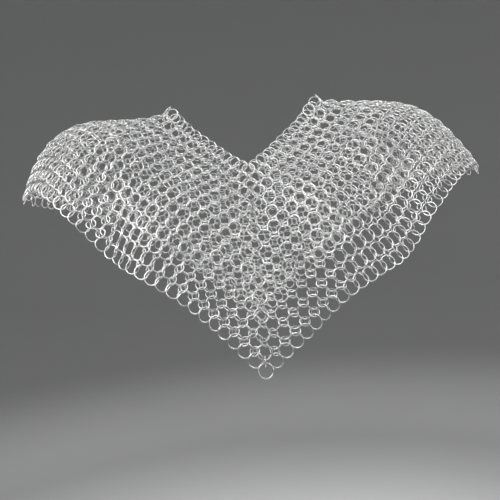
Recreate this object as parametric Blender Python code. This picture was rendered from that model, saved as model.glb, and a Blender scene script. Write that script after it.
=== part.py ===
"""Four-cornered mail mantle, resting as it does round a neck and over two shoulders.

The mantle is a square of ring mail laid corner-wise, with a square neck opening.
Its corners hang at the front, at the back and over both upper arms.
Frame: +Z up, the front faces -Y, and the origin is the middle of the neck opening
at the height of its two side corners.  "Left" and "right" are the wearer's own.
"""
import math
from fractions import Fraction

import bmesh
import bpy
from mathutils import Matrix, Vector

MM = 0.001

# Outer sizes of the draped mantle
HALF_WIDTH = 226 * MM
FRONT_DEPTH = 126 * MM
BACK_DEPTH = 100 * MM
TIP_DROP = 240 * MM

# Ring counts: steps along one side of the neck opening, and rows from neck to hem
NECK_STEPS = 11
ROWS = 12

# Rings: large ones lie in the cloth, small ones connect four large ones each.
# Their inner diameters, 10.4 and 7 mm, are shares of the drop of one row.
large_ring_share = 0.52
small_ring_share = 0.35
ring_pitch_share = 0.8226
RING_WIRE = 1.0 * MM
RING_CLEARANCE = 0.3 * MM
SEAM_PLAY = 1.2 * MM
LARGE_RING_SIDES = 10
LARGE_WIRE_SIDES = 4
SMALL_RING_SIDES = 8
SMALL_WIRE_SIDES = 3
ROW_CELL_SIDES = 6

# Mail cloth between the edge rows
CLOTH_THICKNESS = 4.0 * MM
CLOTH_GAP = 0.3 * MM
ROW_GAP = 0.6 * MM

# Openings of the mail cloth: a plain grid, wider row by row like the rings that it stands for
OPENING_ROWS = 6
NECK_OPENINGS = 5
HEM_OPENINGS = 12
OPENING_SIDES = 6
EDGE_STEPS_PER_OPENING = 2
opening_width_share = 0.84
opening_height_share = 0.78

# The cloth rounds over the shoulder on both sides of its ridge
ROUND_DEPTH = 7.0 * MM
round_width_share = 0.35

# The crease where the cloth falls in between chest and upper arm
CREASE_DEPTH = 8.0 * MM
CREASE_HALF_WIDTH = 13.0 * MM
CREASE_TOP = 50.0 * MM
CREASE_FADE = 45.0 * MM

# Step for slopes on the drape, and how soon the normals turn into the seams' own
sample_step_share = 0.002
normal_ease_share = 0.06

# Looks: base colour, roughness, metallic
BRIGHT_MAIL = ((0.72, 0.72, 0.71), 0.32, 1.0)
CLOTH_MAIL = ((0.5, 0.5, 0.5), 0.45, 1.0)

# Shares of the outer sizes.  A place is (across, depth, drop), as shares of
# HALF_WIDTH, of the depth of its face and of TIP_DROP, after its share of the run.
neck_corner_share = (0.336, 0.0, 0.0)
column_shares = {
    "front": [(0.0, 0.0, 0.413, 0.325), (0.333, 0.0, 0.675, 0.553),
              (0.667, 0.0, 0.86, 0.776), (1.0, 0.0, 0.937, 1.0)],
    "back": [(0.0, 0.0, 0.66, 0.242), (0.333, 0.0, 0.78, 0.475),
             (0.667, 0.0, 0.92, 0.712), (1.0, 0.0, 0.96, 0.95)],
}
neck_shares = {
    "front": [(0.27, 0.088, 0.286, 0.252), (0.55, 0.183, 0.167, 0.164), (0.82, 0.281, 0.063, 0.074)],
    "back": [(0.27, 0.097, 0.5, 0.19), (0.55, 0.2, 0.32, 0.133), (0.82, 0.288, 0.13, 0.058)],
}
ridge_shares = {
    "right": [(0.167, 0.473, 0.0, 0.025), (0.333, 0.615, 0.0, 0.025), (0.5, 0.752, 0.0, 0.033),
              (0.667, 0.867, 0.0, 0.096), (0.833, 0.947, 0.0, 0.2), (1.0, 0.991, 0.0, 0.325)],
    "left": [(0.167, 0.473, 0.0, 0.025), (0.333, 0.611, 0.0, 0.042), (0.5, 0.743, 0.0, 0.071),
             (0.667, 0.854, 0.0, 0.146), (0.833, 0.938, 0.0, 0.25), (1.0, 1.0, 0.0, 0.363)],
}
hem_shares = {
    "front_right": [(0.114, 0.124, 0.925, 0.87), (0.229, 0.246, 0.97, 0.75), (0.343, 0.39, 0.89, 0.66),
                    (0.457, 0.52, 0.755, 0.59), (0.571, 0.64, 0.68, 0.467), (0.686, 0.75, 0.6, 0.355),
                    (0.8, 0.823, 0.445, 0.33), (0.886, 0.903, 0.27, 0.333)],
    "front_left": [(0.114, 0.144, 0.925, 0.888), (0.229, 0.269, 0.985, 0.781), (0.343, 0.407, 0.92, 0.71),
                   (0.457, 0.542, 0.793, 0.658), (0.571, 0.639, 0.716, 0.545), (0.686, 0.743, 0.605, 0.444),
                   (0.8, 0.847, 0.423, 0.379), (0.886, 0.917, 0.25, 0.36)],
    "back": [(0.229, 0.265, 1.0, 0.717), (0.343, 0.4, 0.96, 0.617), (0.457, 0.53, 0.88, 0.533),
             (0.571, 0.664, 0.78, 0.442), (0.686, 0.779, 0.64, 0.375), (0.8, 0.876, 0.44, 0.35),
             (0.886, 0.934, 0.26, 0.35)],
}
crease_across_share = {"right": 0.535, "left": 0.58}


def place(face, side, shares):
    """A place of the drape from its shares (across, depth, drop)."""
    across, depth, drop = shares
    facing = -FRONT_DEPTH if face == "front" else BACK_DEPTH
    way = -1 if side == "right" else 1
    return Vector((way * across * HALF_WIDTH, facing * depth, -drop * TIP_DROP))


def run_through(face, side, rows):
    return [(row[0], place(face, side, row[1:])) for row in rows]


def quarter_runs(face, side):
    """The four edges of one quarter: centre column, neck row, shoulder ridge, hem row."""
    column = run_through(face, side, column_shares[face])
    neck_corner = place(face, side, neck_corner_share)
    ridge = [(0.0, neck_corner)] + run_through(face, side, ridge_shares[side])
    neck = [(0.0, column[0][1])] + run_through(face, side, neck_shares[face]) + [(1.0, neck_corner)]
    hem_key = face + "_" + side if face == "front" else face
    hem = [(0.0, column[-1][1])] + run_through(face, side, hem_shares[hem_key]) + [(1.0, ridge[-1][1])]
    return {"column": column, "neck": neck, "ridge": ridge, "hem": hem}


def slope_at(run, index):
    before = run[max(index - 1, 0)]
    after = run[min(index + 1, len(run) - 1)]
    return (after[1] - before[1]) / (after[0] - before[0])


def along(run, share):
    """The point at a share of a run, on a smooth curve through its places."""
    index = 0
    while index < len(run) - 2 and share > run[index + 1][0]:
        index += 1
    start, end = run[index], run[index + 1]
    span = end[0] - start[0]
    part = (share - start[0]) / span
    rest = 1 - part
    point = start[1] * (rest * rest * (1 + 2 * part)) + end[1] * (part * part * (1 + 2 * rest))
    point += slope_at(run, index) * (span * part * rest * rest)
    point -= slope_at(run, index + 1) * (span * part * part * rest)
    return point


def rounded(point, face, across):
    """Fills the cloth out in front of and behind the shoulder ridge."""
    part = min((1 - across) / round_width_share, 1)
    outwards = -1 if face == "front" else 1
    crest = 27 / 4 * part * (1 - part) * (1 - part)
    return point + Vector((0, outwards * ROUND_DEPTH * crest, 0))


def creased(point, face, side):
    """Lets the cloth fall in towards the body between chest and upper arm."""
    middle = crease_across_share[side] * HALF_WIDTH
    across = (abs(point.x) - middle) / CREASE_HALF_WIDTH
    fade = min(max((-point.z - CREASE_TOP) / CREASE_FADE, 0), 1)
    depth = CREASE_DEPTH * math.exp(-across * across) * fade * fade * (3 - 2 * fade)
    inwards = 1 if face == "front" else -1
    return point + Vector((0, inwards * depth, 0))


def cloth_point(face, side, across, down):
    """The middle surface of a quarter, across from the centre column and down from the neck."""
    runs = RUNS[face, side]
    column, ridge = along(runs["column"], down), along(runs["ridge"], down)
    neck, hem = along(runs["neck"], across), along(runs["hem"], across)
    centre_neck, centre_hem = runs["column"][0][1], runs["column"][-1][1]
    ridge_neck, ridge_hem = runs["ridge"][0][1], runs["ridge"][-1][1]
    sides = column * (1 - across) + ridge * across
    ends = neck * (1 - down) + hem * down
    inner = (centre_neck * (1 - across) + ridge_neck * across) * (1 - down)
    outer = (centre_hem * (1 - across) + ridge_hem * across) * down
    return creased(rounded(sides + ends - inner - outer, face, across), face, side)


RUNS = {(face, side): quarter_runs(face, side) for face in ("front", "back") for side in ("right", "left")}


def eased(share, width):
    part = min(max(share / width, 0), 1)
    return part * part * (3 - 2 * part)


def cloth_frame(face, side, across, down):
    """Point, direction along the row, direction down the cloth, and outward normal."""
    point = cloth_point(face, side, across, down)
    low, high = max(across - sample_step_share, 0), min(across + sample_step_share, 1)
    row = cloth_point(face, side, high, down) - cloth_point(face, side, low, down)
    low, high = max(down - sample_step_share, 0), min(down + sample_step_share, 1)
    fall = cloth_point(face, side, across, high) - cloth_point(face, side, across, low)
    normal = row.cross(fall).normalized()
    if (face == "front") == (side == "left"):
        normal.negate()
    normal.y *= eased(1 - across, normal_ease_share)
    normal.x *= eased(across, normal_ease_share)
    normal.normalize()
    row = (row - normal * row.dot(normal)).normalized()
    down_way = fall - normal * fall.dot(normal)
    down_way = (down_way - row * down_way.dot(row)).normalized()
    return point, row, down_way, normal


# Pieces
LARGE_RING_INSIDE = large_ring_share * TIP_DROP / ROWS
SMALL_RING_INSIDE = small_ring_share * TIP_DROP / ROWS
LARGE_RING_MIDDLE = (LARGE_RING_INSIDE + RING_WIRE) / 2
SMALL_RING_MIDDLE = (SMALL_RING_INSIDE + RING_WIRE) / 2
LARGE_RING_OUTSIDE = LARGE_RING_INSIDE / 2 + RING_WIRE
RING_PITCH = ring_pitch_share * 2 * LARGE_RING_OUTSIDE
SEAM_LIFT = RING_WIRE + RING_CLEARANCE + SEAM_PLAY
SEAM_CLOTH_EDGE = LARGE_RING_OUTSIDE + CLOTH_GAP


def column_frame(face, down):
    """The centre column's point, its way down and its outward normal, shared by both halves."""
    point = cloth_point(face, "left", 0, down)
    low, high = max(down - sample_step_share, 0), min(down + sample_step_share, 1)
    fall = cloth_point(face, "left", 0, high) - cloth_point(face, "left", 0, low)
    across = Vector((1, 0, 0))
    fall = (fall - across * fall.x).normalized()
    normal = across.cross(fall)
    if (normal.y > 0) == (face == "front"):
        normal.negate()
    return point, fall, normal


def row_frame(side, row, step):
    """A place on a row that runs from the front column over the shoulder to the back column."""
    steps = NECK_STEPS + 2 * row
    if step <= steps:
        return cloth_frame("front", side, step / steps, row / ROWS)
    point, along_row, down_way, normal = cloth_frame("back", side, (2 * steps - step) / steps, row / ROWS)
    return point, -along_row, down_way, normal


def add_piece(name, mesh, looks, location=(0, 0, 0), turn=None):
    piece = bpy.data.objects.new(name, mesh)
    bpy.context.scene.collection.objects.link(piece)
    piece.location = location
    if turn is not None:
        piece.rotation_euler = turn.to_euler()
    if not mesh.materials:
        mesh.materials.append(None)
    material = bpy.data.materials.new(name)
    material.use_nodes = True
    shader = material.node_tree.nodes["Principled BSDF"]
    colour, roughness, metallic = looks
    shader.inputs["Base Color"].default_value = (*colour, 1)
    shader.inputs["Roughness"].default_value = roughness
    shader.inputs["Metallic"].default_value = metallic
    piece.material_slots[0].link = "OBJECT"
    piece.material_slots[0].material = material
    return piece


def mesh_from(name, points, faces):
    mesh = bpy.data.meshes.new(name)
    shape = bmesh.new()
    corners = [shape.verts.new(point) for point in points]
    for face in faces:
        shape.faces.new([corners[index] for index in face])
    bmesh.ops.recalc_face_normals(shape, faces=shape.faces)
    shape.to_mesh(mesh)
    shape.free()
    return mesh


def ring_mesh(name, middle_radius, ring_sides, wire_sides):
    """A ring of round wire about its own Z axis, its middle at the origin."""
    points = []
    for index in range(ring_sides):
        around = 2 * math.pi * (index + 0.5) / ring_sides
        for corner in range(wire_sides):
            turn = 2 * math.pi * (corner + 0.5) / wire_sides
            radius = middle_radius + RING_WIRE / 2 * math.cos(turn)
            height = RING_WIRE / 2 * math.sin(turn)
            points.append((radius * math.cos(around), radius * math.sin(around), height))
    faces = []
    for index in range(ring_sides):
        following = (index + 1) % ring_sides
        for corner in range(wire_sides):
            beside = (corner + 1) % wire_sides
            faces.append((index * wire_sides + corner, following * wire_sides + corner,
                          following * wire_sides + beside, index * wire_sides + beside))
    mesh = mesh_from(name, points, faces)
    mesh.shade_smooth()
    return mesh


def axes_turn(x_way, y_way, z_way):
    return Matrix((x_way, y_way, z_way)).transposed()


def seam_ring_place(face, index):
    """Centre of a seam ring: it lies over the ends of the rows, clear of them."""
    point, fall, normal = column_frame(face, index / ROWS)
    return point + normal * SEAM_LIFT, fall, normal


def build_seam(face, large_mesh, small_mesh):
    """The column of large rings that joins the two halves, and the connectors between them."""
    for index in range(ROWS + 1):
        centre, fall, normal = seam_ring_place(face, index)
        turn = axes_turn(Vector((1, 0, 0)), normal.cross(Vector((1, 0, 0))), normal)
        if index == ROWS:
            name = face + "_tip_ring"
        elif index == 0:
            name = face + "_neck_ring"
        else:
            name = f"{face}_seam_ring_{index:02d}"
        add_piece(name, large_mesh, BRIGHT_MAIL, centre, turn)
    for index in range(ROWS):
        upper, _, _ = seam_ring_place(face, index)
        lower, _, _ = seam_ring_place(face, index + 1)
        _, _, normal = column_frame(face, (index + 0.5) / ROWS)
        apart = (lower - upper).length
        reach = apart / 2 - LARGE_RING_MIDDLE
        seat = SMALL_RING_MIDDLE - RING_WIRE - RING_CLEARANCE
        inwards = math.sqrt(max(seat * seat - reach * reach, 0))
        centre = (upper + lower) / 2 - normal * inwards
        way = (lower - upper).normalized()
        across = Vector((1, 0, 0))
        turn = axes_turn(way, across.cross(way), across)
        add_piece(f"{face}_connector_{index + 1:02d}", small_mesh, BRIGHT_MAIL, centre, turn)


def cell_outline():
    """Half of a ring's outline beside its row's middle line, between its necks with its neighbours."""
    lens = math.acos(RING_PITCH / 2 / LARGE_RING_OUTSIDE)
    count = ROW_CELL_SIDES // 2
    turns = [lens + (math.pi - 2 * lens) * part / (count - 1) for part in range(count)]
    return [(LARGE_RING_OUTSIDE * math.cos(turn), LARGE_RING_OUTSIDE * math.sin(turn)) for turn in turns]


def build_row(name, side, row, first_step, last_step):
    """One row of large rings that touch and overlap their neighbours, bent along the drape."""
    half = RING_WIRE / 2
    upper = cell_outline()
    lower = [(across, -height) for across, height in reversed(upper)]
    outline = upper + lower
    hole_across = RING_PITCH - LARGE_RING_OUTSIDE
    hole_height = LARGE_RING_INSIDE / 2
    points, faces, shared = [], [], {}

    def corner(step, across, height, lift, key=None):
        if key is not None and key in shared:
            return shared[key]
        centre, along_row, down_way, normal = row_frame(side, row, step + across / RING_PITCH)
        points.append(centre - down_way * height + normal * lift)
        if key is not None:
            shared[key] = len(points) - 1
        return len(points) - 1

    for step in range(first_step, last_step + 1):
        layers = []
        for lift, layer in ((half, "top"), (-half, "bottom")):
            outer, inner = [], []
            for index, (across, height) in enumerate(outline):
                key = None
                if index in (0, len(outline) - 1):
                    key = (step, layer, height > 0)
                if index in (len(upper) - 1, len(upper)):
                    key = (step - 1, layer, height > 0)
                outer.append(corner(step, across, height, lift, key))
                turn = math.atan2(height, across)
                inner.append(corner(step, hole_across * math.cos(turn), hole_height * math.sin(turn), lift))
            layers.append((outer, inner))
        (top_outer, top_inner), (low_outer, low_inner) = layers
        for index in range(len(outline)):
            following = (index + 1) % len(outline)
            faces.append((top_outer[index], top_outer[following], top_inner[following], top_inner[index]))
            faces.append((low_outer[following], low_outer[index], low_inner[index], low_inner[following]))
            faces.append((top_inner[index], top_inner[following], low_inner[following], low_inner[index]))
            is_neck = index in (len(upper) - 1, len(outline) - 1)
            at_start = index == len(upper) - 1 and step == first_step
            at_end = index == len(outline) - 1 and step == last_step
            if not is_neck or at_start or at_end:
                faces.append((top_outer[following], top_outer[index], low_outer[index], low_outer[following]))
    add_piece(name, mesh_from(name, points, faces), BRIGHT_MAIL)


def share_at_distance(face, side, down, distance):
    """How far across a row first comes to a distance from the centre plane."""
    low, high = 0.0, 0.5
    for _ in range(24):
        middle = (low + high) / 2
        if abs(cloth_point(face, side, middle, down).x) < distance:
            low = middle
        else:
            high = middle
    return high


def share_clear_of_row(face, side, across, edge, distance):
    """The share down the cloth, from its neck (0) or hem (1), that clears the edge row."""
    start, row_way, _, _ = cloth_frame(face, side, across, edge)
    near, far = 0.0, 0.3
    for _ in range(24):
        middle = (near + far) / 2
        step = cloth_point(face, side, across, abs(edge - middle)) - start
        if (step - row_way * step.dot(row_way)).length < distance:
            near = middle
        else:
            far = middle
    return abs(edge - far)


def sheet_point(face, side, across, fall, lift):
    """A point of the cloth sheet, across it and down it between the edge rows, lifted off its middle."""
    clear = LARGE_RING_OUTSIDE + ROW_GAP
    start = share_at_distance(face, side, fall, SEAM_CLOTH_EDGE)
    across = start + (1 - start) * across
    top = share_clear_of_row(face, side, across, 0, clear)
    bottom = share_clear_of_row(face, side, across, 1, clear)
    point, _, _, normal = cloth_frame(face, side, across, top + (bottom - top) * fall)
    point = point + normal * lift
    outwards = -1 if face == "front" else 1
    point.y = outwards * max(outwards * point.y, CLOTH_GAP / 2)
    return point


def openings_in(row):
    return round(NECK_OPENINGS + (HEM_OPENINGS - NECK_OPENINGS) * row / (OPENING_ROWS - 1))


def line_steps(line):
    """Where the points of a grid line lie across the sheet: the corners of the openings beside it."""
    counts = {openings_in(row) for row in (line - 1, line) if 0 <= row < OPENING_ROWS}
    if line in (0, OPENING_ROWS):
        counts = {count * EDGE_STEPS_PER_OPENING for count in counts}
    return sorted({Fraction(step, count) for count in counts for step in range(count + 1)})


def joined_outlines(outer, inner):
    """Triangles between two closed outlines, each a list of (turn, index) that starts alike."""
    outer = outer + [(outer[0][0] + 2 * math.pi, outer[0][1])]
    inner = inner + [(inner[0][0] + 2 * math.pi, inner[0][1])]
    faces = []
    out, within = 0, 0
    while out < len(outer) - 1 or within < len(inner) - 1:
        outer_next = outer[out + 1][0] if out < len(outer) - 1 else math.inf
        inner_next = inner[within + 1][0] if within < len(inner) - 1 else math.inf
        if outer_next <= inner_next:
            faces.append((outer[out][1], outer[out + 1][1], inner[within][1]))
            out += 1
        else:
            faces.append((outer[out][1], inner[within + 1][1], inner[within][1]))
            within += 1
    return faces


def cell_outlines(row, index):
    """The outline of a grid cell and of the opening in it, as (turn, across, fall), turn by turn."""
    count = openings_in(row)
    middle = (Fraction(2 * index + 1, 2 * count), Fraction(2 * row + 1, 2 * OPENING_ROWS))
    ends = (Fraction(index, count), Fraction(index + 1, count))
    outer, inner = [], []
    for line in (row, row + 1):
        fall = Fraction(line, OPENING_ROWS)
        outer += [(step, fall) for step in line_steps(line) if ends[0] <= step <= ends[1]]
    for part in range(OPENING_SIDES):
        turn = 2 * math.pi * part / OPENING_SIDES
        across = opening_width_share / 2 * math.cos(turn) / count
        fall = opening_height_share / 2 * math.sin(turn) / OPENING_ROWS
        inner.append((float(middle[0]) + across, float(middle[1]) + fall))
    outlines = []
    for outline in (outer, inner):
        turned = []
        for across, fall in outline:
            sideways, downwards = (across - middle[0]) * count, (fall - middle[1]) * OPENING_ROWS
            turn = (math.atan2(downwards, sideways) + math.pi * 3 / 4) % (2 * math.pi)
            turned.append((turn, across, fall))
        outlines.append(sorted(turned))
    return outlines


def sheet_border():
    """The outline of the whole sheet, point by point round it."""
    lines = [Fraction(line, OPENING_ROWS) for line in range(OPENING_ROWS + 1)]
    border = [(step, lines[0]) for step in line_steps(0)]
    border += [(Fraction(1), fall) for fall in lines[1:]]
    border += [(step, lines[-1]) for step in reversed(line_steps(OPENING_ROWS)[:-1])]
    return border + [(Fraction(0), fall) for fall in reversed(lines[1:-1])]


def build_cloth(face, side):
    """The mail between the edge rows, as one draped sheet with its fall, creases and openings."""
    points, faces, placed = [], [], {}

    def corner(across, fall, layer):
        """A point that all pieces of a layer share, outer layer 0 or inner layer 1."""
        if (across, fall) not in placed:
            placed[across, fall] = len(points)
            for lift in (CLOTH_THICKNESS / 2, -CLOTH_THICKNESS / 2):
                points.append(sheet_point(face, side, float(across), float(fall), lift))
        return placed[across, fall] + layer

    def add_wall(outline):
        for (across, fall), (next_across, next_fall) in zip(outline, outline[1:] + outline[:1]):
            faces.append((corner(across, fall, 0), corner(next_across, next_fall, 0),
                          corner(next_across, next_fall, 1), corner(across, fall, 1)))

    for row in range(OPENING_ROWS):
        for index in range(openings_in(row)):
            outer, inner = cell_outlines(row, index)
            for layer in (0, 1):
                outlines = [[(turn, corner(across, fall, layer)) for turn, across, fall in outline]
                            for outline in (outer, inner)]
                faces.extend(joined_outlines(*outlines))
            add_wall([(across, fall) for _, across, fall in inner])
    add_wall(sheet_border())
    add_piece(f"{face}_{side}_mail", mesh_from(f"{face}_{side}_mail", points, faces), CLOTH_MAIL)


def build():
    for item in list(bpy.data.objects):
        bpy.data.objects.remove(item, do_unlink=True)
    large_mesh = ring_mesh("large_ring", LARGE_RING_MIDDLE, LARGE_RING_SIDES, LARGE_WIRE_SIDES)
    small_mesh = ring_mesh("small_ring", SMALL_RING_MIDDLE, SMALL_RING_SIDES, SMALL_WIRE_SIDES)
    for face in ("front", "back"):
        build_seam(face, large_mesh, small_mesh)
        for side in ("right", "left"):
            build_cloth(face, side)
    for side in ("right", "left"):
        build_row(f"{side}_neck_row", side, 0, 1, 2 * NECK_STEPS - 1)
        hem_steps = NECK_STEPS + 2 * ROWS
        build_row(f"{side}_hem_row", side, ROWS, 1, 2 * hem_steps - 1)


build()
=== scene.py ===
"""Looks for the four-cornered mail mantle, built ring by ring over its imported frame."""
import math

import bpy
import numpy as np
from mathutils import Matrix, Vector


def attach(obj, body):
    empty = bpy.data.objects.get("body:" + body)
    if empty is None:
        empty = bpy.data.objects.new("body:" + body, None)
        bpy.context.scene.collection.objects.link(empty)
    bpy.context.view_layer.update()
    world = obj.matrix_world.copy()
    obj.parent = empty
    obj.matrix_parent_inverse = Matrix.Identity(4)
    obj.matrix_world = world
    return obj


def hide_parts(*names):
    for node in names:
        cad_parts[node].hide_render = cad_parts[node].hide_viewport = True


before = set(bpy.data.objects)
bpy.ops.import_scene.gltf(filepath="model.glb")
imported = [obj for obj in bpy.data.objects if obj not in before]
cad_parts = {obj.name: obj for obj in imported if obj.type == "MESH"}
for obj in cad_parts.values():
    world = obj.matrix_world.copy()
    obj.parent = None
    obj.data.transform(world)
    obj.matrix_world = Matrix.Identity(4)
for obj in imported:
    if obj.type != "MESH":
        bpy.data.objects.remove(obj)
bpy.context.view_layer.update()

MM = 0.001
TINY = 1e-9
TINIEST = 1e-12

# Rings, as in the part
RING_WIRE = 1.0 * MM
LARGE_RING_INSIDE = 10.4 * MM
SMALL_RING_INSIDE = 7.0 * MM
LARGE_RING_MIDDLE = (LARGE_RING_INSIDE + RING_WIRE) / 2
SMALL_RING_MIDDLE = (SMALL_RING_INSIDE + RING_WIRE) / 2
RING_CLEARANCE = 0.3 * MM
SEAM_PLAY = 1.2 * MM
SEAM_LIFT = RING_WIRE + RING_CLEARANCE + SEAM_PLAY
NECK_STEPS = 11
ROWS = 12

# Drape, as in the part
HALF_WIDTH = 226 * MM
FRONT_DEPTH = 126 * MM
BACK_DEPTH = 100 * MM
TIP_DROP = 240 * MM
ROUND_DEPTH = 7.0 * MM
ROUND_WIDTH_SHARE = 0.35
CREASE_DEPTH = 8.0 * MM
CREASE_HALF_WIDTH = 13.0 * MM
CREASE_TOP = 50.0 * MM
CREASE_FADE = 45.0 * MM
SAMPLE_STEP_SHARE = 0.002
NORMAL_EASE_SHARE = 0.06

# Brings the highest point of x (1 - x) (1 - x) to 1
CREST_FACTOR = 27 / 4

# How a ring lies in the weave before it settles: turns in degrees about the two diagonals of its cell.
# The first diagonal runs level out from the centre column, the second runs up the cloth.  The loose tilt and
# shift are each ring's random play.
LARGE_LEVEL_TILT = 13.0
LARGE_UPRIGHT_TILT = -6.0
SMALL_LEVEL_TILT = -27.0
SMALL_UPRIGHT_TILT = 12.0
LOOSE_TILT = 2.0
LOOSE_SHIFT = 0.1 * MM

# How the rings settle on each other: the gap is between the middle lines of two wires, the most that one
# round pushes, pulls or turns is limited, and the pull draws each ring back to where it was laid
SETTLE_ROUNDS = 120
ROUNDS_PER_NEAR_LIST = 30
SETTLE_GAP = 0.98 * MM
SETTLE_REACH = 1.6 * MM
SETTLE_SIDES = 16
NEAREST_POINT_STEPS = 4
MOST_PUSH = SETTLE_GAP / 2
MOST_PULL = SETTLE_GAP * 0.7
MOST_TURN = 0.12
MANY_TOUCHES_EASE = 1.3
EDGE_PULL_SHARE = 0.05
INNER_PULL_SHARE = 0.015
TURN_BACK_SHARE = 0.4

# How finely the wire is drawn
LARGE_RING_SIDES = 22
SMALL_RING_SIDES = 16
WIRE_SIDES = 6
BUTT_GAP = 0.16 * MM
BUTT_STEP = 0.12 * MM
SHARP_EDGE_DEGREES = 70

random = np.random.default_rng(11)

# Shares of the outer sizes, as in the part: the share of the run, then across, depth and drop
neck_corner_share = (0.336, 0.0, 0.0)
column_shares = {
    "front": [(0.0, 0.0, 0.413, 0.325), (0.333, 0.0, 0.675, 0.553),
              (0.667, 0.0, 0.86, 0.776), (1.0, 0.0, 0.937, 1.0)],
    "back": [(0.0, 0.0, 0.66, 0.242), (0.333, 0.0, 0.78, 0.475),
             (0.667, 0.0, 0.92, 0.712), (1.0, 0.0, 0.96, 0.95)],
}
neck_shares = {
    "front": [(0.27, 0.088, 0.286, 0.252), (0.55, 0.183, 0.167, 0.164), (0.82, 0.281, 0.063, 0.074)],
    "back": [(0.27, 0.097, 0.5, 0.19), (0.55, 0.2, 0.32, 0.133), (0.82, 0.288, 0.13, 0.058)],
}
ridge_shares = {
    "right": [(0.167, 0.473, 0.0, 0.025), (0.333, 0.615, 0.0, 0.025), (0.5, 0.752, 0.0, 0.033),
              (0.667, 0.867, 0.0, 0.096), (0.833, 0.947, 0.0, 0.2), (1.0, 0.991, 0.0, 0.325)],
    "left": [(0.167, 0.473, 0.0, 0.025), (0.333, 0.611, 0.0, 0.042), (0.5, 0.743, 0.0, 0.071),
             (0.667, 0.854, 0.0, 0.146), (0.833, 0.938, 0.0, 0.25), (1.0, 1.0, 0.0, 0.363)],
}
hem_shares = {
    "front_right": [(0.114, 0.124, 0.925, 0.87), (0.229, 0.246, 0.97, 0.75), (0.343, 0.39, 0.89, 0.66),
                    (0.457, 0.52, 0.755, 0.59), (0.571, 0.64, 0.68, 0.467), (0.686, 0.75, 0.6, 0.355),
                    (0.8, 0.823, 0.445, 0.33), (0.886, 0.903, 0.27, 0.333)],
    "front_left": [(0.114, 0.144, 0.925, 0.888), (0.229, 0.269, 0.985, 0.781), (0.343, 0.407, 0.92, 0.71),
                   (0.457, 0.542, 0.793, 0.658), (0.571, 0.639, 0.716, 0.545), (0.686, 0.743, 0.605, 0.444),
                   (0.8, 0.847, 0.423, 0.379), (0.886, 0.917, 0.25, 0.36)],
    "back": [(0.229, 0.265, 1.0, 0.717), (0.343, 0.4, 0.96, 0.617), (0.457, 0.53, 0.88, 0.533),
             (0.571, 0.664, 0.78, 0.442), (0.686, 0.779, 0.64, 0.375), (0.8, 0.876, 0.44, 0.35),
             (0.886, 0.934, 0.26, 0.35)],
}
crease_across_share = {"right": 0.535, "left": 0.58}


def place(face, side, shares):
    """A place of the drape from its shares (across, depth, drop)."""
    across, depth, drop = shares
    facing = -FRONT_DEPTH if face == "front" else BACK_DEPTH
    way = -1 if side == "right" else 1
    return Vector((way * across * HALF_WIDTH, facing * depth, -drop * TIP_DROP))


def run_through(face, side, rows):
    """A run's places, each with its share of the run."""
    return [(row[0], place(face, side, row[1:])) for row in rows]


def quarter_runs(face, side):
    """The four edges of one quarter: centre column, neck row, shoulder ridge, hem row."""
    column = run_through(face, side, column_shares[face])
    neck_corner = place(face, side, neck_corner_share)
    ridge = [(0.0, neck_corner)] + run_through(face, side, ridge_shares[side])
    neck = [(0.0, column[0][1])] + run_through(face, side, neck_shares[face]) + [(1.0, neck_corner)]
    hem_key = face + "_" + side if face == "front" else face
    hem = [(0.0, column[-1][1])] + run_through(face, side, hem_shares[hem_key]) + [(1.0, ridge[-1][1])]
    return {"column": column, "neck": neck, "ridge": ridge, "hem": hem}


def slope_at(run, index):
    """How a run goes on at one of its places, from the places beside it."""
    before = run[max(index - 1, 0)]
    after = run[min(index + 1, len(run) - 1)]
    return (after[1] - before[1]) / (after[0] - before[0])


def along(run, share):
    """The point at a share of a run, on a smooth curve through its places."""
    index = 0
    while index < len(run) - 2 and share > run[index + 1][0]:
        index += 1
    start, end = run[index], run[index + 1]
    span = end[0] - start[0]
    part = (share - start[0]) / span
    rest = 1 - part
    point = start[1] * (rest * rest * (1 + 2 * part)) + end[1] * (part * part * (1 + 2 * rest))
    point += slope_at(run, index) * (span * part * rest * rest)
    point -= slope_at(run, index + 1) * (span * part * part * rest)
    return point


def rounded(point, face, across):
    """Fills the cloth out in front of and behind the shoulder ridge."""
    part = min((1 - across) / ROUND_WIDTH_SHARE, 1)
    outwards = -1 if face == "front" else 1
    crest = CREST_FACTOR * part * (1 - part) * (1 - part)
    return point + Vector((0, outwards * ROUND_DEPTH * crest, 0))


def creased(point, face, side):
    """Lets the cloth fall in towards the body between chest and upper arm."""
    middle = crease_across_share[side] * HALF_WIDTH
    across = (abs(point.x) - middle) / CREASE_HALF_WIDTH
    fade = min(max((-point.z - CREASE_TOP) / CREASE_FADE, 0), 1)
    depth = CREASE_DEPTH * math.exp(-across * across) * fade * fade * (3 - 2 * fade)
    inwards = 1 if face == "front" else -1
    return point + Vector((0, inwards * depth, 0))


def cloth_point(face, side, across, down):
    """The middle surface of a quarter, across from the centre column and down from the neck."""
    runs = RUNS[face, side]
    column, ridge = along(runs["column"], down), along(runs["ridge"], down)
    neck, hem = along(runs["neck"], across), along(runs["hem"], across)
    centre_neck, centre_hem = runs["column"][0][1], runs["column"][-1][1]
    ridge_neck, ridge_hem = runs["ridge"][0][1], runs["ridge"][-1][1]
    sides = column * (1 - across) + ridge * across
    ends = neck * (1 - down) + hem * down
    inner = (centre_neck * (1 - across) + ridge_neck * across) * (1 - down)
    outer = (centre_hem * (1 - across) + ridge_hem * across) * down
    return creased(rounded(sides + ends - inner - outer, face, across), face, side)


RUNS = {(face, side): quarter_runs(face, side) for face in ("front", "back") for side in ("right", "left")}


def eased(share, width):
    """Rises smoothly from 0 to 1 over a width."""
    part = min(max(share / width, 0), 1)
    return part * part * (3 - 2 * part)


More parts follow.
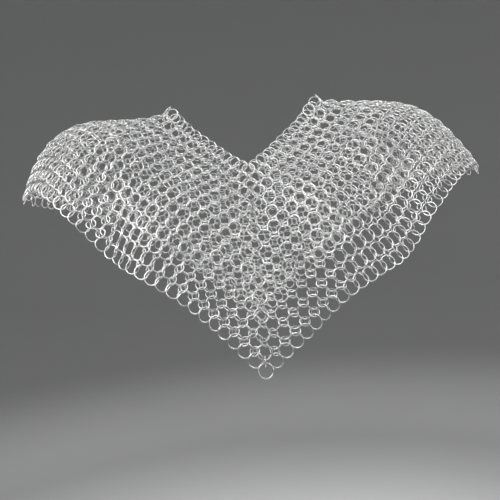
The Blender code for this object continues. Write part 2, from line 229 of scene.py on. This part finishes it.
def cloth_frame(face, side, across, down):
    """Point, direction along the row, direction down the cloth, and outward normal."""
    point = cloth_point(face, side, across, down)
    low, high = max(across - SAMPLE_STEP_SHARE, 0), min(across + SAMPLE_STEP_SHARE, 1)
    row = cloth_point(face, side, high, down) - cloth_point(face, side, low, down)
    low, high = max(down - SAMPLE_STEP_SHARE, 0), min(down + SAMPLE_STEP_SHARE, 1)
    fall = cloth_point(face, side, across, high) - cloth_point(face, side, across, low)
    normal = row.cross(fall).normalized()
    if (face == "front") == (side == "left"):
        normal.negate()
    normal.y *= eased(1 - across, NORMAL_EASE_SHARE)
    normal.x *= eased(across, NORMAL_EASE_SHARE)
    normal.normalize()
    row = (row - normal * row.dot(normal)).normalized()
    down_way = fall - normal * fall.dot(normal)
    down_way = (down_way - row * down_way.dot(row)).normalized()
    return point, row, down_way, normal


def quarter_steps(row):
    """How many rings a row runs from a centre column to the shoulder ridge."""
    return NECK_STEPS + 2 * row


def row_frame(side, row, step):
    """A place on a row that runs from the front column over the shoulder to the back column."""
    steps = quarter_steps(row)
    if step <= steps:
        return cloth_frame("front", side, step / steps, row / ROWS)
    point, along_row, down_way, normal = cloth_frame("back", side, (2 * steps - step) / steps, row / ROWS)
    return point, -along_row, down_way, normal


def column_frame(face, down):
    """The centre column's point, its way down and its outward normal, shared by both halves."""
    point = cloth_point(face, "left", 0, down)
    low, high = max(down - SAMPLE_STEP_SHARE, 0), min(down + SAMPLE_STEP_SHARE, 1)
    fall = cloth_point(face, "left", 0, high) - cloth_point(face, "left", 0, low)
    across = Vector((1, 0, 0))
    fall = (fall - across * fall.x).normalized()
    normal = across.cross(fall)
    if (normal.y > 0) == (face == "front"):
        normal.negate()
    return point, fall, normal


# Rings of wire
def turn_about(axis, degrees):
    """A turn about x (0), y (1) or z (2) as a 3 by 3 array."""
    cosine, sine = math.cos(math.radians(degrees)), math.sin(math.radians(degrees))
    turn = np.eye(3)
    first, second = [(1, 2), (2, 0), (0, 1)][axis]
    turn[first, first] = turn[second, second] = cosine
    turn[first, second], turn[second, first] = -sine, sine
    return turn


def wire_ring(middle_radius, ring_sides):
    """Points and faces of a butted ring of round wire, its two ends nearly meeting at +X."""
    gap = BUTT_GAP / middle_radius
    points = []
    for index in range(ring_sides + 1):
        share = index / ring_sides
        around = gap / 2 + (2 * math.pi - gap) * share
        lift = BUTT_STEP * (share - 0.5)
        for corner in range(WIRE_SIDES):
            turn = 2 * math.pi * corner / WIRE_SIDES
            radius = middle_radius + RING_WIRE / 2 * math.cos(turn)
            height = lift + RING_WIRE / 2 * math.sin(turn)
            points.append((radius * math.cos(around), radius * math.sin(around), height))
    faces = []
    for index in range(ring_sides):
        for corner in range(WIRE_SIDES):
            beside = (corner + 1) % WIRE_SIDES
            start, following = index * WIRE_SIDES, (index + 1) * WIRE_SIDES
            faces.append((start + corner, following + corner, following + beside, start + beside))
    caps = [tuple(range(WIRE_SIDES)), tuple(ring_sides * WIRE_SIDES + c for c in reversed(range(WIRE_SIDES)))]
    return np.array(points), faces, caps


LARGE_WIRE = wire_ring(LARGE_RING_MIDDLE, LARGE_RING_SIDES)
SMALL_WIRE = wire_ring(SMALL_RING_MIDDLE, SMALL_RING_SIDES)


def add_rings(name, wire, keys, material):
    """One piece of rings, each as it has settled, with its butted ends anywhere round it."""
    ring_points, ring_faces, caps = wire
    points, faces, tones = [], [], []
    for key in keys:
        ring = ring_index[key]
        turn = ring_axes[ring] @ turn_about(2, random.uniform(0, 360))
        start = len(points) * len(ring_points)
        points.append(ring_points @ turn.T + ring_centres[ring])
        flip = np.linalg.det(turn) < 0
        for face in ring_faces + caps:
            order = reversed(face) if flip else face
            faces.append(tuple(start + corner for corner in order))
        tones.append(np.full(len(ring_points), random.random()))
    mesh = bpy.data.meshes.new(name)
    mesh.from_pydata(np.concatenate(points).tolist(), [], faces)
    tone = mesh.attributes.new("ring_tone", "FLOAT", "POINT")
    tone.data.foreach_set("value", np.concatenate(tones).astype(np.float32))
    mesh.shade_smooth()
    mesh.set_sharp_from_angle(angle=math.radians(SHARP_EDGE_DEGREES))
    mesh.materials.append(material)
    piece = bpy.data.objects.new(name, mesh)
    bpy.context.scene.collection.objects.link(piece)
    return piece


def frame_axes(row_way, down_way, normal):
    """The weave's own axes as columns: along the row, up the cloth and out of it."""
    return np.array([row_way, -down_way, normal]).T


def cell_turn(level, upright):
    """A turn about the two diagonals of a cell, as a turn of the cell's axes by an eighth."""
    eighth = turn_about(2, 45)
    return eighth.T @ turn_about(1, upright) @ turn_about(0, level) @ eighth


LARGE_LIE = cell_turn(LARGE_LEVEL_TILT, LARGE_UPRIGHT_TILT)
SMALL_LIE = cell_turn(SMALL_LEVEL_TILT, SMALL_UPRIGHT_TILT)
RIDGE_LIE = turn_about(2, -45) @ SMALL_LIE


# Every ring's key, centre, axes, radius and pull back to its place, and which rings pass through each other.
# A ring with no pull is held where it is.
ring_index, ring_table, ring_links = {}, [], []


def note_ring(key, centre, axes, radius, pull=0.0):
    """Lists a ring under its key.  One with a pull gets its random play first."""
    if pull > 0:
        axes = axes @ turn_about(0, random.normal(0, LOOSE_TILT))
        axes = axes @ turn_about(1, random.normal(0, LOOSE_TILT))
        centre = np.array(centre) + random.normal(0, LOOSE_SHIFT, 3)
    ring_index[key] = len(ring_table)
    ring_table.append((np.array(centre), axes, radius, pull))


def lay_seam(face):
    """The column of large rings between the halves, held in place, and the connectors between them.

    The lowest connector is set on edge, so that the tip ring can swing on it."""
    across = Vector((1, 0, 0))
    centres = []
    for row in range(ROWS + 1):
        point, fall, normal = column_frame(face, row / ROWS)
        centres.append(point + normal * SEAM_LIFT)
        axes = frame_axes(across, fall, normal)
        note_ring((face, "ring", row), centres[-1], axes, LARGE_RING_MIDDLE)
    for row in range(ROWS):
        upper, lower = centres[row], centres[row + 1]
        _, _, normal = column_frame(face, (row + 0.5) / ROWS)
        reach = (lower - upper).length / 2 - LARGE_RING_MIDDLE
        seat = SMALL_RING_MIDDLE - RING_WIRE - RING_CLEARANCE
        centre = (upper + lower) / 2 - normal * math.sqrt(max(seat * seat - reach * reach, 0))
        fall = (lower - upper).normalized()
        key = (face, "connector", row)
        ring_links.append(((face, "ring", row), key))
        ring_links.append(((face, "ring", row + 1), key))
        if row == ROWS - 1:
            note_ring(key, centre, frame_axes(fall, -fall.cross(across), across), SMALL_RING_MIDDLE)
            continue
        axes = frame_axes(across, fall, normal) @ RIDGE_LIE
        note_ring(key, centre, axes, SMALL_RING_MIDDLE, EDGE_PULL_SHARE)
        beside = 1 if face == "front" else 2 * quarter_steps(row + 1) - 1
        ring_links.append((("right", "ring", row + 1, beside), key))
        ring_links.append((("left", "ring", row + 1, beside), key))


def large_key(side, row, step):
    """The key of a large ring, which is a seam ring at either end of its row."""
    if step == 0:
        return ("front", "ring", row)
    if step == 2 * quarter_steps(row):
        return ("back", "ring", row)
    return (side, "ring", row, step)


def cell_corners(row, step):
    """The four large rings of a connector: inner, upper, lower and outer.  The last step is the ridge."""
    steps = quarter_steps(row)
    if step == 2 * steps:
        return [(row, steps), (row + 1, steps + 1), (row + 1, steps + 3), (row + 1, steps + 2)]
    shift = 1 if step < steps else 3
    return [(row, step), (row, step + 1), (row + 1, step + shift), (row + 1, step + shift + 1)]


def squared_axes(row_way, fall, normal):
    """Axes at right angles from a rough way along the row and down the cloth."""
    row_way = row_way - normal * (row_way @ normal)
    row_way = row_way / np.linalg.norm(row_way)
    up = np.cross(normal, row_way)
    return np.array([row_way, -up if up @ fall > 0 else up, normal]).T


def lay_half(side):
    """All rings of one half at their places on the cloth, and what each connector passes through."""
    centres, normals = {}, {}
    for row in range(ROWS + 1):
        last = 2 * quarter_steps(row)
        frames = [row_frame(side, row, step) for step in range(last + 1)]
        for step, (point, _, _, normal) in enumerate(frames):
            centres[row, step], normals[row, step] = np.array(point), np.array(normal)
        pull = EDGE_PULL_SHARE if row in (0, ROWS) else INNER_PULL_SHARE
        for step in range(1, last):
            row_way = centres[row, step + 1] - centres[row, step - 1]
            axes = squared_axes(row_way, np.array(frames[step][2]), normals[row, step])
            centre = centres[row, step]
            note_ring((side, "ring", row, step), centre, axes @ LARGE_LIE, LARGE_RING_MIDDLE, pull)
    for row in range(ROWS):
        ridge = 2 * quarter_steps(row)
        for step in range(ridge + 1):
            corners = cell_corners(row, step)
            first, second, third, fourth = (centres[corner] for corner in corners)
            normal = sum(normals[corner] for corner in corners)
            normal = normal / np.linalg.norm(normal)
            if step == ridge:
                axes = squared_axes(third - second, fourth - first, normal) @ RIDGE_LIE
            else:
                axes = squared_axes(second - first + fourth - third, third - first, normal) @ SMALL_LIE
            middle = (first + second + third + fourth) / 4
            note_ring((side, "connector", row, step), middle, axes, SMALL_RING_MIDDLE, INNER_PULL_SHARE)
            for corner in corners:
                ring_links.append((large_key(side, *corner), (side, "connector", row, step)))


def nearest_on(centres, axes, radii, points):
    """The nearest point of each ring's middle line to a point."""
    away = points - centres
    first = (away * axes[:, :, 0]).sum(1)
    second = (away * axes[:, :, 1]).sum(1)
    size = np.maximum(np.hypot(first, second), TINY)
    first, second = (radii * first / size)[:, None], (radii * second / size)[:, None]
    return centres + axes[:, :, 0] * first + axes[:, :, 1] * second


def nearest_pair(centres, axes, radii, pairs):
    """Where the middle lines of two rings come nearest to each other."""
    one, other = pairs.T
    turns = 2 * math.pi * np.arange(SETTLE_SIDES) / SETTLE_SIDES
    cosine, sine = np.cos(turns)[None, :, None], np.sin(turns)[None, :, None]
    lines = axes[:, None, :, 0] * cosine + axes[:, None, :, 1] * sine
    lines = centres[:, None, :] + lines * radii[:, None, None]
    near, far = lines[one], lines[other]
    apart = sum((near[:, :, None, k] - far[:, None, :, k]) ** 2 for k in range(3)).reshape(len(pairs), -1)
    best = apart.argmin(1)
    place = np.arange(len(pairs))
    here, there = near[place, best // SETTLE_SIDES], far[place, best % SETTLE_SIDES]
    for _ in range(NEAREST_POINT_STEPS):
        there = nearest_on(centres[other], axes[other], radii[other], here)
        here = nearest_on(centres[one], axes[one], radii[one], there)
    return here, there


def pass_through(centres, axes, radii, pairs):
    """Whether the second ring passes once through the first."""
    one, other = pairs.T
    normal = axes[one][:, :, 2]
    away = centres[other] - centres[one]
    along_first = (axes[other][:, :, 0] * normal).sum(1)
    along_second = (axes[other][:, :, 1] * normal).sum(1)
    lean = np.maximum(np.hypot(along_first, along_second), TINY)
    height = -(away * normal).sum(1) / (radii[other] * lean)
    middle, swing = np.arctan2(along_second, along_first), np.arccos(np.clip(height, -1, 1))
    inside = []
    for turn in (middle + swing, middle - swing):
        spot = axes[other][:, :, 0] * np.cos(turn)[:, None] + axes[other][:, :, 1] * np.sin(turn)[:, None]
        spot = away + spot * radii[other][:, None]
        spot = spot - normal * (spot * normal).sum(1)[:, None]
        inside.append(np.linalg.norm(spot, axis=1) < radii[one])
    return (np.abs(height) < 1) & (inside[0] != inside[1])


def turned(axes, turns):
    """Axes after small turns, each given as a vector of axis times angle."""
    angle = np.linalg.norm(turns, axis=1)
    way = turns / np.maximum(angle, TINIEST)[:, None]
    cosine, sine = np.cos(angle)[:, None], np.sin(angle)[:, None]
    columns = []
    for k in range(3):
        column = axes[:, :, k]
        share = (way * column).sum(1)[:, None] * (1 - cosine)
        columns.append(column * cosine + np.cross(way, column) * sine + way * share)
    return np.stack(columns, 2)


def near_pairs(centres, radii, held, links):
    """Pairs of rings near enough to touch that don't pass through each other."""
    apart = sum((centres[:, None, k] - centres[None, :, k]) ** 2 for k in range(3))
    near = np.triu(apart < (radii[:, None] + radii[None, :] + SETTLE_REACH) ** 2, 1)
    near[links[:, 0], links[:, 1]] = False
    near[links[:, 1], links[:, 0]] = False
    near &= ~(held[:, None] & held[None, :])
    return np.argwhere(near)


def settled(centres, axes, radii, pulls, links):
    """Pushes crossing wires apart and draws connectors through their rings, for a fixed number of rounds.

    Where the cloth is stretched some links stay open, and many linked wires still sink in a little."""
    start_centres, start_axes = centres.copy(), axes.copy()
    held = pulls == 0
    links = links[~(held[links[:, 0]] & held[links[:, 1]])]
    loose = np.where(held, 0.0, 1.0)
    stiffness = radii ** 2 / 2
    for lap in range(SETTLE_ROUNDS):
        if lap % ROUNDS_PER_NEAR_LIST == 0:
            others = near_pairs(centres, radii, held, links)
            pairs = np.concatenate([links, others])
            should = np.arange(len(pairs)) < len(links)
            ends = np.concatenate([pairs[:, 0], pairs[:, 1]])
        here, there = nearest_pair(centres, axes, radii, pairs)
        gap = here - there
        size = np.linalg.norm(gap, axis=1)
        way = gap / np.maximum(size, TINIEST)[:, None]
        holds = pass_through(centres, axes, radii, pairs) == should
        push = np.clip(SETTLE_GAP - size, 0, MOST_PUSH)
        push = np.where(holds, push, -np.clip(SETTLE_GAP / 2 + size, 0, MOST_PULL))
        ways = np.concatenate([way, -way])
        spins = np.cross(np.concatenate([here, there]) - centres[ends], ways)
        weights = loose[ends] * (1 + (spins ** 2).sum(1) / stiffness[ends])
        both = np.maximum(weights[:len(pairs)] + weights[len(pairs):], TINY)
        strength = np.concatenate([push / both, push / both]) * loose[ends]
        moves, turns = np.zeros_like(centres), np.zeros_like(centres)
        for k in range(3):
            moves[:, k] = np.bincount(ends, strength * ways[:, k], len(centres))
            turns[:, k] = np.bincount(ends, strength * spins[:, k] / stiffness[ends], len(centres))
        touches = np.bincount(ends, np.concatenate([push, push]) != 0, len(centres))
        ease = (MANY_TOUCHES_EASE / np.maximum(np.sqrt(touches), MANY_TOUCHES_EASE))[:, None]
        moves, turns = moves * ease, turns * ease
        size = np.linalg.norm(turns, axis=1)
        turns = turns * (np.minimum(size, MOST_TURN) / np.maximum(size, TINY))[:, None]
        turns += np.cross(axes[:, :, 2], start_axes[:, :, 2]) * (pulls * TURN_BACK_SHARE)[:, None]
        centres = centres + moves + (start_centres - centres) * pulls[:, None]
        axes = turned(axes, turns)
    return centres, axes


for face_name in ("front", "back"):
    lay_seam(face_name)
for half in ("right", "left"):
    lay_half(half)
ring_centres, ring_axes = settled(
    np.array([ring[0] for ring in ring_table]), np.array([ring[1] for ring in ring_table]),
    np.array([ring[2] for ring in ring_table]), np.array([ring[3] for ring in ring_table]),
    np.array([(ring_index[large], ring_index[small]) for large, small in ring_links]))


# Materials
def add_node(tree, kind, **inputs):
    """A shader node with its settings, and else its inputs, set by name."""
    node = tree.nodes.new(kind)
    for key, value in inputs.items():
        if hasattr(node, key):
            setattr(node, key, value)
        else:
            node.inputs[key.replace("_", " ")].default_value = value
    return node


# How fine the metal's cloudy tone, its grain and its scratches are, and how much each of them counts
CLOUD_SCALE, CLOUD_DETAIL = 220.0, 4.0
GRAIN_SCALE, SCRATCH_SCALE, FINE_DETAIL = 2600.0, 900.0, 3.0
GRAIN_SEED_STEP = 3
SCRATCH_DISTORTION = 14.0
RING_TONE_SHARE = 0.45
TONE_RANGE = (0.35, 0.95)
GRAIN_RANGE = (0.3, 0.7)
ROUGHNESS_RANGE = (0.2, 0.36)
SCRATCH_SHARE = 0.35
SCRATCH_STRENGTH = 0.25
SCRATCH_DEPTH = 0.03 * MM


def mail_metal(name, dark, light, seed):
    """Drawn steel wire under a thin bright zinc coat: cloudy tone, fine scratches, dull patches."""
    material = bpy.data.materials.new(name)
    material.use_nodes = True
    tree = material.node_tree
    shader = tree.nodes["Principled BSDF"]
    shader.inputs["Metallic"].default_value = 1.0
    coordinates = add_node(tree, "ShaderNodeTexCoord")
    clouds = add_node(tree, "ShaderNodeTexNoise", noise_dimensions="4D", W=seed,
                      Scale=CLOUD_SCALE, Detail=CLOUD_DETAIL)
    grain = add_node(tree, "ShaderNodeTexNoise", noise_dimensions="4D", W=seed + GRAIN_SEED_STEP,
                     Scale=GRAIN_SCALE, Detail=FINE_DETAIL)
    scratches = add_node(tree, "ShaderNodeTexWave", Scale=SCRATCH_SCALE, Distortion=SCRATCH_DISTORTION,
                         Detail=FINE_DETAIL)
    for texture in (clouds, grain, scratches):
        tree.links.new(coordinates.outputs["Object"], texture.inputs["Vector"])
    tone = add_node(tree, "ShaderNodeAttribute", attribute_name="ring_tone")
    blend = add_node(tree, "ShaderNodeMath", operation="MULTIPLY_ADD")
    blend.inputs[1].default_value = RING_TONE_SHARE
    tree.links.new(tone.outputs["Fac"], blend.inputs[0])
    tree.links.new(clouds.outputs["Fac"], blend.inputs[2])
    ramp = add_node(tree, "ShaderNodeValToRGB")
    ramp.color_ramp.elements[0].position = TONE_RANGE[0]
    ramp.color_ramp.elements[0].color = (*dark, 1)
    ramp.color_ramp.elements[1].position = TONE_RANGE[1]
    ramp.color_ramp.elements[1].color = (*light, 1)
    tree.links.new(blend.outputs[0], ramp.inputs["Fac"])
    tree.links.new(ramp.outputs["Color"], shader.inputs["Base Color"])
    dull = add_node(tree, "ShaderNodeMapRange")
    dull.inputs["From Min"].default_value, dull.inputs["From Max"].default_value = GRAIN_RANGE
    dull.inputs["To Min"].default_value, dull.inputs["To Max"].default_value = ROUGHNESS_RANGE
    tree.links.new(grain.outputs["Fac"], dull.inputs["Value"])
    tree.links.new(dull.outputs["Result"], shader.inputs["Roughness"])
    relief = add_node(tree, "ShaderNodeMath", operation="MULTIPLY_ADD")
    relief.inputs[1].default_value = SCRATCH_SHARE
    tree.links.new(scratches.outputs["Fac"], relief.inputs[0])
    tree.links.new(grain.outputs["Fac"], relief.inputs[2])
    bump = add_node(tree, "ShaderNodeBump", Strength=SCRATCH_STRENGTH, Distance=SCRATCH_DEPTH)
    tree.links.new(relief.outputs[0], bump.inputs["Height"])
    tree.links.new(bump.outputs["Normal"], shader.inputs["Normal"])
    return material


large_metal = mail_metal("large_ring_metal", (0.5, 0.5, 0.5), (0.86, 0.86, 0.85), 1.0)
small_metal = mail_metal("connector_metal", (0.46, 0.46, 0.46), (0.82, 0.82, 0.81), 5.0)
edge_metal = mail_metal("edge_row_metal", (0.52, 0.52, 0.52), (0.88, 0.88, 0.87), 9.0)


# Pieces
def build_half(side):
    """All rings of one half: its rows from neck to hem and the connectors between them."""
    cloth_nodes = [f"front_{side}_mail", f"back_{side}_mail"]
    for row in range(ROWS + 1):
        keys = [(side, "ring", row, step) for step in range(1, 2 * quarter_steps(row))]
        if row == 0:
            piece = add_rings(f"{side}_neck_row_rings", LARGE_WIRE, keys, edge_metal)
            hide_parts(f"{side}_neck_row")
        elif row == ROWS:
            piece = add_rings(f"{side}_hem_row_rings", LARGE_WIRE, keys, edge_metal)
            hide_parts(f"{side}_hem_row")
        else:
            piece = add_rings(f"{side}_row_{row:02d}_rings", LARGE_WIRE, keys, large_metal)
            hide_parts(*cloth_nodes)
        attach(piece, "mantle")
    for row in range(ROWS):
        keys = [(side, "connector", row, step) for step in range(2 * quarter_steps(row) + 1)]
        piece = add_rings(f"{side}_row_{row:02d}_connectors", SMALL_WIRE, keys, small_metal)
        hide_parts(*cloth_nodes)
        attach(piece, "mantle")


def build_seam(face):
    """The centre column's rings, each in place of its own node."""
    for row in range(ROWS + 1):
        node, body = f"{face}_seam_ring_{row:02d}", "mantle"
        if row == 0:
            node = face + "_neck_ring"
        elif row == ROWS:
            node, body = face + "_tip_ring", face + "_tip"
        piece = add_rings(node + "_wire", LARGE_WIRE, [(face, "ring", row)], large_metal)
        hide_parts(node)
        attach(piece, body)
    for row in range(ROWS):
        node, key = f"{face}_connector_{row + 1:02d}", (face, "connector", row)
        piece = add_rings(node + "_wire", SMALL_WIRE, [key], small_metal)
        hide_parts(node)
        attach(piece, "mantle")


for half in ("right", "left"):
    build_half(half)
for face_name in ("front", "back"):
    build_seam(face_name)


# Floor, lights and camera
MANTLE_MIDDLE = (0, -0.02, -0.1)
FLOOR_GREY, WALL_GREY = 0.9, 0.42
WALL_PAINT_RISE = 0.45
STAGE_ROUGHNESS = 0.85
WORLD_TINT, WORLD_STRENGTH = (0.97, 0.98, 1.0, 1), 0.26


def sweep_material(floor):
    """A pale floor whose paint turns into a greyer wall as the sweep rises."""
    material = bpy.data.materials.new("pale_sweep")
    material.use_nodes = True
    tree = material.node_tree
    shader = tree.nodes["Principled BSDF"]
    shader.inputs["Roughness"].default_value = STAGE_ROUGHNESS
    coordinates = add_node(tree, "ShaderNodeTexCoord")
    parts = add_node(tree, "ShaderNodeSeparateXYZ")
    tree.links.new(coordinates.outputs["Object"], parts.inputs[0])
    rise = add_node(tree, "ShaderNodeMapRange", interpolation_type="SMOOTHSTEP")
    rise.inputs["From Min"].default_value = floor
    rise.inputs["From Max"].default_value = floor + WALL_PAINT_RISE
    tree.links.new(parts.outputs["Z"], rise.inputs["Value"])
    ramp = add_node(tree, "ShaderNodeValToRGB")
    ramp.color_ramp.elements[0].color = (FLOOR_GREY, FLOOR_GREY, FLOOR_GREY, 1)
    ramp.color_ramp.elements[1].color = (WALL_GREY, WALL_GREY, WALL_GREY, 1)
    tree.links.new(rise.outputs["Result"], ramp.inputs["Fac"])
    tree.links.new(ramp.outputs["Color"], shader.inputs["Base Color"])
    return material


def add_stage():
    """A pale round floor that curves up into a plain wall all round."""
    radius, bend, height, floor = 3.0, 0.6, 2.0, -1.3
    around, turns = 96, 12
    profile = [(radius - bend, floor)]
    for index in range(1, turns + 1):
        angle = math.pi / 2 * index / turns
        profile.append((radius - bend + bend * math.sin(angle), floor + bend - bend * math.cos(angle)))
    profile.append((radius, height))
    points = [(0, 0, floor)]
    for reach, level in profile:
        for index in range(around):
            angle = 2 * math.pi * index / around
            points.append((reach * math.cos(angle), reach * math.sin(angle), level))
    faces = [(0, 1 + index, 1 + (index + 1) % around) for index in range(around)]
    for ring in range(len(profile) - 1):
        start, above = 1 + ring * around, 1 + (ring + 1) * around
        for index in range(around):
            beside = (index + 1) % around
            faces.append((start + index, above + index, above + beside, start + beside))
    mesh = bpy.data.meshes.new("pale_floor")
    mesh.from_pydata(points, [], faces)
    mesh.shade_smooth()
    mesh.materials.append(sweep_material(floor))
    sweep = bpy.data.objects.new("pale_floor", mesh)
    bpy.context.scene.collection.objects.link(sweep)


def add_area_light(name, place, size, power, aim=MANTLE_MIDDLE):
    """A soft light of the given sides in metres and power in watts, not seen by the camera itself."""
    light = bpy.data.lights.new(name, "AREA")
    light.shape = "RECTANGLE"
    light.size, light.size_y = size
    light.energy = power
    holder = bpy.data.objects.new(name, light)
    holder.location = place
    holder.rotation_euler = (Vector(aim) - Vector(place)).to_track_quat("-Z", "Y").to_euler()
    holder.visible_camera = False
    bpy.context.scene.collection.objects.link(holder)


def add_lights():
    """Near softboxes in front, two behind, one that lights the floor, and a dim even world."""
    add_area_light("key_softbox", (-0.4, -0.5, 0.3), (0.5, 0.5), 4.0)
    add_area_light("fill_softbox", (0.5, -0.5, 0.05), (0.35, 0.6), 2.3)
    add_area_light("top_softbox", (0.0, -0.3, 0.65), (0.7, 0.4), 1.5)
    add_area_light("back_softbox", (0.5, 0.85, 0.5), (0.6, 0.6), 6.0)
    add_area_light("back_fill_softbox", (-0.7, 0.7, 0.1), (0.4, 0.8), 4.2)
    add_area_light("floor_softbox", (0.0, 0.4, -0.45), (2.2, 2.2), 14.0, (0.0, 0.4, -1.3))
    world = bpy.data.worlds.new("studio")
    world.use_nodes = True
    world.node_tree.nodes["Background"].inputs["Color"].default_value = WORLD_TINT
    world.node_tree.nodes["Background"].inputs["Strength"].default_value = WORLD_STRENGTH
    bpy.context.scene.world = world
    bpy.context.scene.view_settings.view_transform = "Standard"


def add_camera():
    """Close in front at chest height, rolled a little: focal length and place read from the photograph."""
    focal_pixels, image_pixels, middle_off_pixels = 476.0, 500.0, 5.5
    distance = 476 * MM
    neck_height = 149 * MM
    roll = math.radians(5.0)
    camera = bpy.data.cameras.new("camera")
    camera.sensor_width = 36.0
    camera.lens = camera.sensor_width * focal_pixels / image_pixels
    camera.shift_x = -middle_off_pixels / image_pixels
    camera.clip_start = 0.01
    holder = bpy.data.objects.new("camera", camera)
    holder.location = (0, -distance, -neck_height)
    holder.rotation_mode = "XYZ"
    holder.rotation_euler = (math.radians(90), roll, 0)
    bpy.context.scene.collection.objects.link(holder)
    bpy.context.scene.camera = holder


add_stage()
add_lights()
add_camera()
